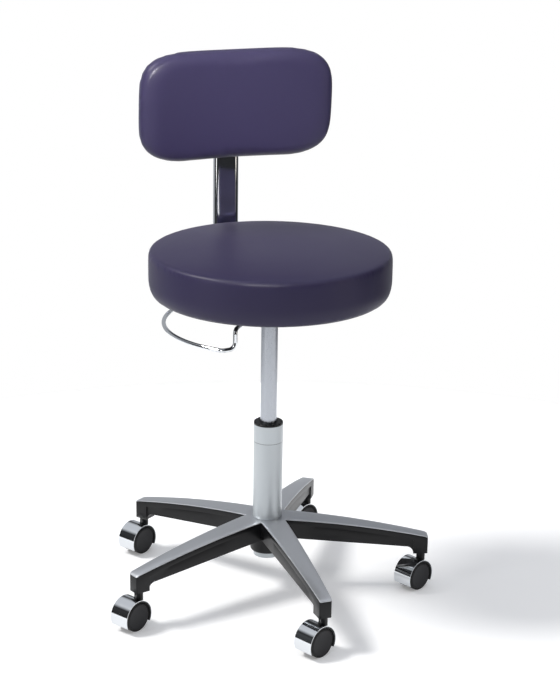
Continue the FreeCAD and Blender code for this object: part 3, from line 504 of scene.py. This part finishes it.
class STOOL_OT_seat_hem(bpy.types.Operator):
    """Make the vinyl hem under the seat pan, the dust cover laid over it and the wire staples"""

    bl_idname = "stool.seat_hem"
    bl_label = "Seat Hem"

    def execute(self, context):
        settings = context.scene.stool_upholstery
        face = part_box("seat_pan")[0].z
        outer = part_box("seat_pan")[1].x + 1.5 * MM
        inner = outer - settings.seat_hem
        gauge, bite = 0.9 * MM, 0.3 * MM
        lap = face - gauge
        fold = face - gauge * 0.4
        hem = [(outer, face + bite), (outer, fold), (outer - 1.2 * MM, lap), (inner + 1 * MM, lap),
               (inner, fold), (inner, face + bite), (outer, face + bite)]
        dressed(linked("seat_hem", spun(hem, steps=160)), "coated vinyl", "seat_cushion", smooth=40)
        # The dust cover runs from under the seat plate out over the hem's inner edge.
        hole, rim = 60 * MM, inner + 6 * MM
        upper, lower, over = face - 0.2 * MM, face - 0.6 * MM, lap - 0.5 * MM
        veil = [(hole, upper), (hole, lower), (rim - 12 * MM, lower), (rim - 6 * MM, over), (rim, over),
                (rim + 0.3 * MM, lap - 0.2 * MM), (rim, lap + 0.1 * MM), (rim - 6 * MM, lap + 0.1 * MM),
                (rim - 12 * MM, upper), (hole, upper)]
        dressed(linked("dust_cover", spun(veil, steps=120)), "nonwoven polypropylene", "seat_pan")
        bm = bmesh.new()
        wire, crown = 0.7 * MM, 9 * MM
        for k in range(STAPLES):
            staple = bmesh.ops.create_cube(bm, size=1, matrix=Matrix.Diagonal((wire, crown, wire, 1)))
            turn = math.tau * (k + 0.5) / STAPLES
            reach = rim - (4.2 * MM if k % 2 else 3.4 * MM)
            place = Matrix.Translation((reach * math.cos(turn), reach * math.sin(turn), over))
            bmesh.ops.transform(bm, matrix=place @ Matrix.Rotation(turn, 4, "Z"), verts=staple["verts"])
        bmesh.ops.bevel(bm, geom=bm.edges[:], offset=0.2 * MM, offset_type="OFFSET", affect="EDGES",
                        segments=2, profile=0.5, material=-1)
        dressed(linked("seat_staples", bm), "zinc plated steel", "seat_bolts")
        return {"FINISHED"}


class STOOL_OT_back_cover(bpy.types.Operator):
    """Make the backrest pad: a barrel-sided vinyl cover over foam, curved round the sitter's back"""

    bl_idname = "stool.back_cover"
    bl_label = "Back Cover"

    def execute(self, context):
        settings = context.scene.stool_upholstery
        inset = settings.swell * 0.6
        half_width = settings.back_width / 2 - inset
        half_height = settings.back_height / 2 - inset
        bm = bmesh.new()
        rim = bmesh.ops.create_circle(bm, cap_ends=True, radius=1, segments=160)["verts"]
        # The outline is a circle squared off into a barrel, a little more along its top and bottom.
        across_power, up_power, mean_power = 4, 4.4, 4.2
        for vertex in rim:
            across, up = vertex.co.x, vertex.co.y
            reach = (abs(across) ** across_power + abs(up) ** up_power) ** (-1 / mean_power)
            vertex.co = Vector((across * reach * half_width, 0, up * reach * half_height))
        grown = bmesh.ops.extrude_face_region(bm, geom=bm.faces[:])["geom"]
        front = [item for item in grown if isinstance(item, bmesh.types.BMVert)]
        bmesh.ops.translate(bm, verts=front, vec=(0, inset - settings.back_depth, 0))
        lip = [edge for edge in bm.edges if all(vertex in front for vertex in edge.verts)]
        bmesh.ops.bevel(bm, geom=lip, offset=settings.back_edge, offset_type="OFFSET", affect="EDGES",
                        segments=6, profile=0.5, material=-1)
        bmesh.ops.recalc_face_normals(bm, faces=bm.faces)
        piece = linked("back_upholstery", bm)
        remeshed(piece, settings.weave)
        for vertex in piece.data.vertices:
            vertex.co.y -= vertex.co.x ** 2 / (2 * settings.back_hollow)
        relaxed(piece.data, 3)
        piece.data.transform(Matrix.Rotation(settings.back_lean, 4, "X"))
        swollen(piece, settings, lambda at: False)
        relaxed(piece.data, 3)
        fitted(piece, "back_cushion")
        covered(piece, "back_cushion")
        return {"FINISHED"}


# ------------------------------------------------------------------ structure

class STOOL_OT_finishes(bpy.types.Operator):
    """Make every finish and put one on each part that is shown as it was designed"""

    bl_idname = "stool.finishes"
    bl_label = "Finishes"

    def execute(self, context):
        tones = context.scene.stool_finishes
        coated_vinyl(tuple(tones.vinyl))
        powder_coat(tuple(tones.coat))
        polished_aluminium(tuple(tones.aluminium))
        silver_lacquer(tuple(tones.lacquer))
        silver_foil(tuple(tones.lacquer))
        chromium_plate(tuple(tones.chrome))
        birch_plywood(linear("#C9A678"))
        # Ground hydraulic tube, drawn bright and lightly oiled.
        worked_steel("ground steel", tuple(tones.steel), 0.28, 1.2)
        # Zinc plate on turned and pressed hardware: pale, a little blue, satin.
        worked_steel("zinc plated steel", linear("#AEB3B9"), 0.3, 1.5)
        # Black cathodic paint on the pressed seat plate.
        worked_steel("painted steel", linear("#1B1B1D"), 0.42, 1.6, metallic=0.0)
        # Glass-filled nylon: near black, satin.
        moulding("moulded nylon", tuple(tones.nylon), 0.38, 1.0)
        # Soft polyurethane tread: black, dull.
        moulding("moulded polyurethane", linear("#0B0B0D"), 0.5, 1.2)
        # Polypropylene cap of the wheel: dark grey, satin.
        moulding("moulded polypropylene", tuple(tones.disc), 0.45, 1.0)
        # Felted black sheet under the seat: dead matt, with a fleck of fibres.
        moulding("nonwoven polypropylene", linear("#101012"), 0.9, 1.8)
        # Bump rubber: black and matt.
        moulding("black rubber", linear("#17171A"), 0.75, 1.4)
        for node, finish in FINISHES.items():
            mesh = frame["nodes"][node].data
            mesh.materials.clear()
            mesh.materials.append(bpy.data.materials[finish])
        return {"FINISHED"}


FINISHES = {
    "base_top_cover": "polished aluminium",
    "base_casting": "black powder coat",
    "column_tube": "silver lacquer",
    "column_band": "silver foil",
    "guide_bush": "moulded nylon",
    "thrust_bearing": "ground steel",
    "grip_rings": "ground steel",
    "piston_rod": "chromium plate",
    "piston": "moulded nylon",
    "bump_stop": "black rubber",
    "retaining_clip": "zinc plated steel",
    "gas_cylinder": "ground steel",
    "seat_holder": "painted steel",
    "seat_mechanism": "painted steel",
    "seat_pan": "birch plywood",
    "seat_bolts": "zinc plated steel",
    "seat_cushion": "coated vinyl",
    "back_post": "chromium plate",
    "post_cap": "moulded nylon",
    "release_lever": "chromium plate",
    "lever_finger": "zinc plated steel",
    "release_button": "ground steel",
    "back_sleeve": "painted steel",
    "back_board": "moulded nylon",
    "back_cushion": "coated vinyl",
    "back_screws": "zinc plated steel",
    "clamp_knob": "moulded nylon",
}
for k in CASTERS:
    FINISHES.update({
        f"caster_stem_{k}": "zinc plated steel",
        f"caster_axle_{k}": "zinc plated steel",
        f"caster_body_{k}": "moulded nylon",
        f"caster_hood_{k}": "chromium plate",
        f"caster_wheel_left_{k}": "moulded polyurethane",
        f"caster_wheel_right_{k}": "moulded polyurethane",
    })


class STOOL_OT_star_base(bpy.types.Operator):
    """Round over the cast edges of the five-armed base and its polished faces"""

    bl_idname = "stool.star_base"
    bl_label = "Star Base"

    def execute(self, context):
        eased("base_top_cover", "polished aluminium", 0.7)
        eased("base_casting", "black powder coat", 1.0)
        return {"FINISHED"}


class STOOL_OT_wheels(bpy.types.Operator):
    """Make each caster wheel: a soft tread with round shoulders, and a cap pressed into its side"""

    bl_idname = "stool.wheels"
    bl_label = "Wheels"

    def execute(self, context):
        for k in CASTERS:
            for side, sign in (("left", 1), ("right", -1)):
                self.make_wheel(f"caster_wheel_{side}_{k}", JOINTS[f"wheel_roll_{side}_{k}"], sign)
        return {"FINISHED"}

    def make_wheel(self, node, joint, sign):
        """The wheel is turned about Z with its capped side up, and then laid on its axle."""
        radius, inner, outer, bore, pocket = 25 * MM, 2.8 * MM, 17.5 * MM, 3.05 * MM, 15.6 * MM
        shoulder, cap = 2.2 * MM, 22.4 * MM
        axis = Vector(joint["axis"]) * sign
        turn = Vector((0, 0, 1)).rotation_difference(axis).to_matrix().to_4x4()
        lay = Matrix.Translation(joint["pos_m"]) @ turn
        tread = [(bore, inner)]
        tread += arc((radius - shoulder, inner + shoulder), shoulder, shoulder, -90, 0, 5)
        tread += arc((radius - shoulder, outer - shoulder), shoulder, shoulder, 0, 90, 5)
        tread += [(cap, outer - 0.2 * MM), (cap, outer - 1.6 * MM), (0, outer - 1.6 * MM), (0, pocket),
                  (bore, pocket), (bore, inner)]
        bm = spun(tread, steps=72)
        bmesh.ops.transform(bm, matrix=lay, verts=bm.verts)
        wheel = dressed(linked(node + "_tread", bm), "moulded polyurethane", node)
        face = [(0, outer - 1.5 * MM), (cap - 0.3 * MM, outer - 1.5 * MM)]
        face += arc((cap - 1.1 * MM, outer - 0.9 * MM), 0.8 * MM, 0.8 * MM, 0, 90, 4)
        face += [(cap - 3 * MM, outer - 0.1 * MM), (cap - 4 * MM, outer - 0.35 * MM),
                 (0, outer - 0.05 * MM)]
        bm = spun(face, steps=72)
        bmesh.ops.transform(bm, matrix=lay, verts=bm.verts)
        dressed(linked(node + "_cap", bm), "moulded polypropylene", node)
        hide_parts(node)


# ------------------------------------------------------------------ stage

# Name, strength, place, size, colour, aim, and spread in degrees: a narrow spread is a grid on the front.
SOFTBOXES = (
    ("left strip", "strips", (-2.6, -0.6, 1.2), (0.5, 2.6), "#FFFDFA", (0, 0, 0.4), 180),
    ("right strip", "strips", (2.2, -1.9, 1.1), (0.4, 2.4), "#FFF6EC", (0, 0, 0.4), 180),
    ("front fill", "fill", (-1.9, -2.4, 2.2), (1.2, 1.2), "#F6F9FF", (0, 0, 0.4), 180),
    ("backrest light", "back_light", (-1.1, -1.7, 2.1), (0.6, 0.6), "#FFFDFA", (-0.05, 0.17, 0.88), 20),
)
SUN_HEADING = (0.95, -0.35, -1.25)
FLOOR_CENTRE = (-0.1, -0.4, 0)


class STOOL_OT_stage(bpy.types.Operator):
    """Set up the floor, the soft light and the camera"""

    bl_idname = "stool.stage"
    bl_label = "Stage"

    def execute(self, context):
        scene = context.scene
        settings = scene.stool_stage
        scene.view_settings.view_transform = "Standard"
        self.lay_floor(settings)
        self.light_surround(scene, settings)
        self.hang_sun(scene, settings)
        for name, strength, *rest in SOFTBOXES:
            self.hang_light(scene, name, getattr(settings, strength), *rest)
        self.place_camera(scene, settings)
        return {"FINISHED"}

    def lay_floor(self, settings):
        """A pale floor, matt as paper, lit a little from below."""
        tree, shader, place = start_material("pale floor", linear("#F4F5F7"), 0.0, 0.9, **{
            "Emission Color": linear("#FFFFFF"), "Emission Strength": settings.floor_glow})
        tooth = add_node(tree, "ShaderNodeTexNoise", {"Vector": place, "Scale": per_metre(3), "Detail": 2.0})
        add_node(tree, "ShaderNodeMapRange", {"Value": tooth, "To Min": 0.85, "To Max": 0.95},
                 to=shader["Roughness"])
        bm = bmesh.new()
        bmesh.ops.create_circle(bm, cap_ends=True, radius=settings.floor_reach, segments=96)
        bmesh.ops.translate(bm, verts=bm.verts, vec=FLOOR_CENTRE)
        floor = linked("floor", bm)
        floor.data.materials.append(bpy.data.materials["pale floor"])

    def light_surround(self, scene, settings):
        """A room with a pale wall behind, dark round the rest and bright overhead, seen as plain white."""
        world = bpy.data.worlds.new("studio")
        world.use_nodes = True
        scene.world = world
        tree = world.node_tree
        room = tree.nodes["Background"].inputs
        way = add_node(tree, "ShaderNodeTexCoord", out="Generated")
        across = add_node(tree, "ShaderNodeSeparateXYZ", {"Vector": way}, out="Y")
        height = add_node(tree, "ShaderNodeSeparateXYZ", {"Vector": way}, out="Z")
        wall = add_node(tree, "ShaderNodeMapRange", {
            "Value": across, "From Min": 0.15, "From Max": 0.75, "To Max": settings.backdrop},
            interpolation_type="SMOOTHSTEP")
        below = add_node(tree, "ShaderNodeMapRange", {
            "Value": height, "From Min": 0.3, "From Max": 0.55, "To Min": 1.0, "To Max": 0.0},
            interpolation_type="SMOOTHSTEP")
        overhead = add_node(tree, "ShaderNodeMapRange", {
            "Value": height, "From Min": 0.5, "From Max": 0.72, "To Min": 0.03, "To Max": settings.sky},
            interpolation_type="SMOOTHSTEP")
        light = add_node(tree, "ShaderNodeMath", {0: wall, 1: below, 2: overhead}, operation="MULTIPLY_ADD")
        seen = add_node(tree, "ShaderNodeLightPath", out="Is Camera Ray")
        add_node(tree, "ShaderNodeMix", {0: seen, 2: light, 3: 1.0}, to=room["Strength"])
        add_node(tree, "ShaderNodeMix", {0: seen, 6: linear("#F2F5FB"), 7: linear("#FFFFFF")},
                 to=room["Color"], out=2, data_type="RGBA")

    def hang_sun(self, scene, settings):
        """A broad key light from high at the back left, so shadows fall forward to the right."""
        lamp = bpy.data.lights.new("key light", "SUN")
        lamp.energy = settings.sun
        lamp.angle = math.radians(14)
        lamp.color = linear("#FFFDF9")[:3]
        holder = bpy.data.objects.new("key light", lamp)
        holder.rotation_euler = Vector(SUN_HEADING).to_track_quat("-Z", "Y").to_euler()
        scene.collection.objects.link(holder)

    def hang_light(self, scene, name, watts, place, size, tone, aim, spread):
        """A softbox aimed at a point on the stool."""
        lamp = bpy.data.lights.new(name, "AREA")
        lamp.shape = "RECTANGLE"
        lamp.size, lamp.size_y = size
        lamp.energy = watts
        lamp.color = linear(tone)[:3]
        lamp.spread = math.radians(spread)
        holder = bpy.data.objects.new(name, lamp)
        holder.location = place
        holder.rotation_euler = (Vector(aim) - Vector(place)).to_track_quat("-Z", "Y").to_euler()
        scene.collection.objects.link(holder)

    def place_camera(self, scene, settings):
        """A long lens looking a little down from the front left."""
        heading, dip = settings.heading, settings.dip
        ahead = Vector((math.sin(heading) * math.cos(dip), math.cos(heading) * math.cos(dip), -math.sin(dip)))
        level = Vector((math.cos(heading), -math.sin(heading), 0))
        above = level.cross(ahead)
        right = level * math.cos(settings.roll) + above * math.sin(settings.roll)
        up = above * math.cos(settings.roll) - level * math.sin(settings.roll)
        camera = bpy.data.cameras.new("camera")
        camera.sensor_width = 36
        camera.lens = settings.lens
        camera.clip_end = 60
        holder = bpy.data.objects.new("camera", camera)
        turned = Matrix((right, up, -ahead)).transposed().to_4x4()
        holder.matrix_world = Matrix.Translation(settings.camera_place) @ turned
        scene.collection.objects.link(holder)
        scene.camera = holder


# ------------------------------------------------------------------ panel and running order

class STOOL_PT_panel(bpy.types.Panel):
    """Everything that builds the stool, in order"""

    bl_idname = "STOOL_PT_panel"
    bl_label = "Operator Stool"
    bl_space_type = "VIEW_3D"
    bl_region_type = "UI"
    bl_category = "Stool"

    def draw(self, context):
        layout = self.layout
        for step in STEPS:
            layout.operator(step.bl_idname)
        for group in GROUPS.values():
            settings = getattr(context.scene, group)
            for name in settings.bl_rna.properties.keys():
                if name not in ("rna_type", "name"):
                    layout.prop(settings, name)


STEPS = (STOOL_OT_stage, STOOL_OT_finishes, STOOL_OT_seat_cover, STOOL_OT_seat_hem, STOOL_OT_back_cover,
         STOOL_OT_star_base, STOOL_OT_wheels)
GROUPS = {
    StoolUpholstery: "stool_upholstery",
    StoolFinishes: "stool_finishes",
    StoolStage: "stool_stage",
}


def register():
    for group, name in GROUPS.items():
        bpy.utils.register_class(group)
        setattr(bpy.types.Scene, name, PointerProperty(type=group))
    for part in STEPS + (STOOL_PT_panel,):
        bpy.utils.register_class(part)


def unregister():
    for part in reversed(STEPS + (STOOL_PT_panel,)):
        bpy.utils.unregister_class(part)
    for group, name in reversed(GROUPS.items()):
        delattr(bpy.types.Scene, name)
        bpy.utils.unregister_class(group)


def main():
    register()
    bpy.ops.stool.stage()
    bpy.ops.stool.finishes()
    bpy.ops.stool.seat_cover()
    bpy.ops.stool.seat_hem()
    bpy.ops.stool.back_cover()
    bpy.ops.stool.star_base()
    bpy.ops.stool.wheels()


if __name__ == "__main__":
    main()
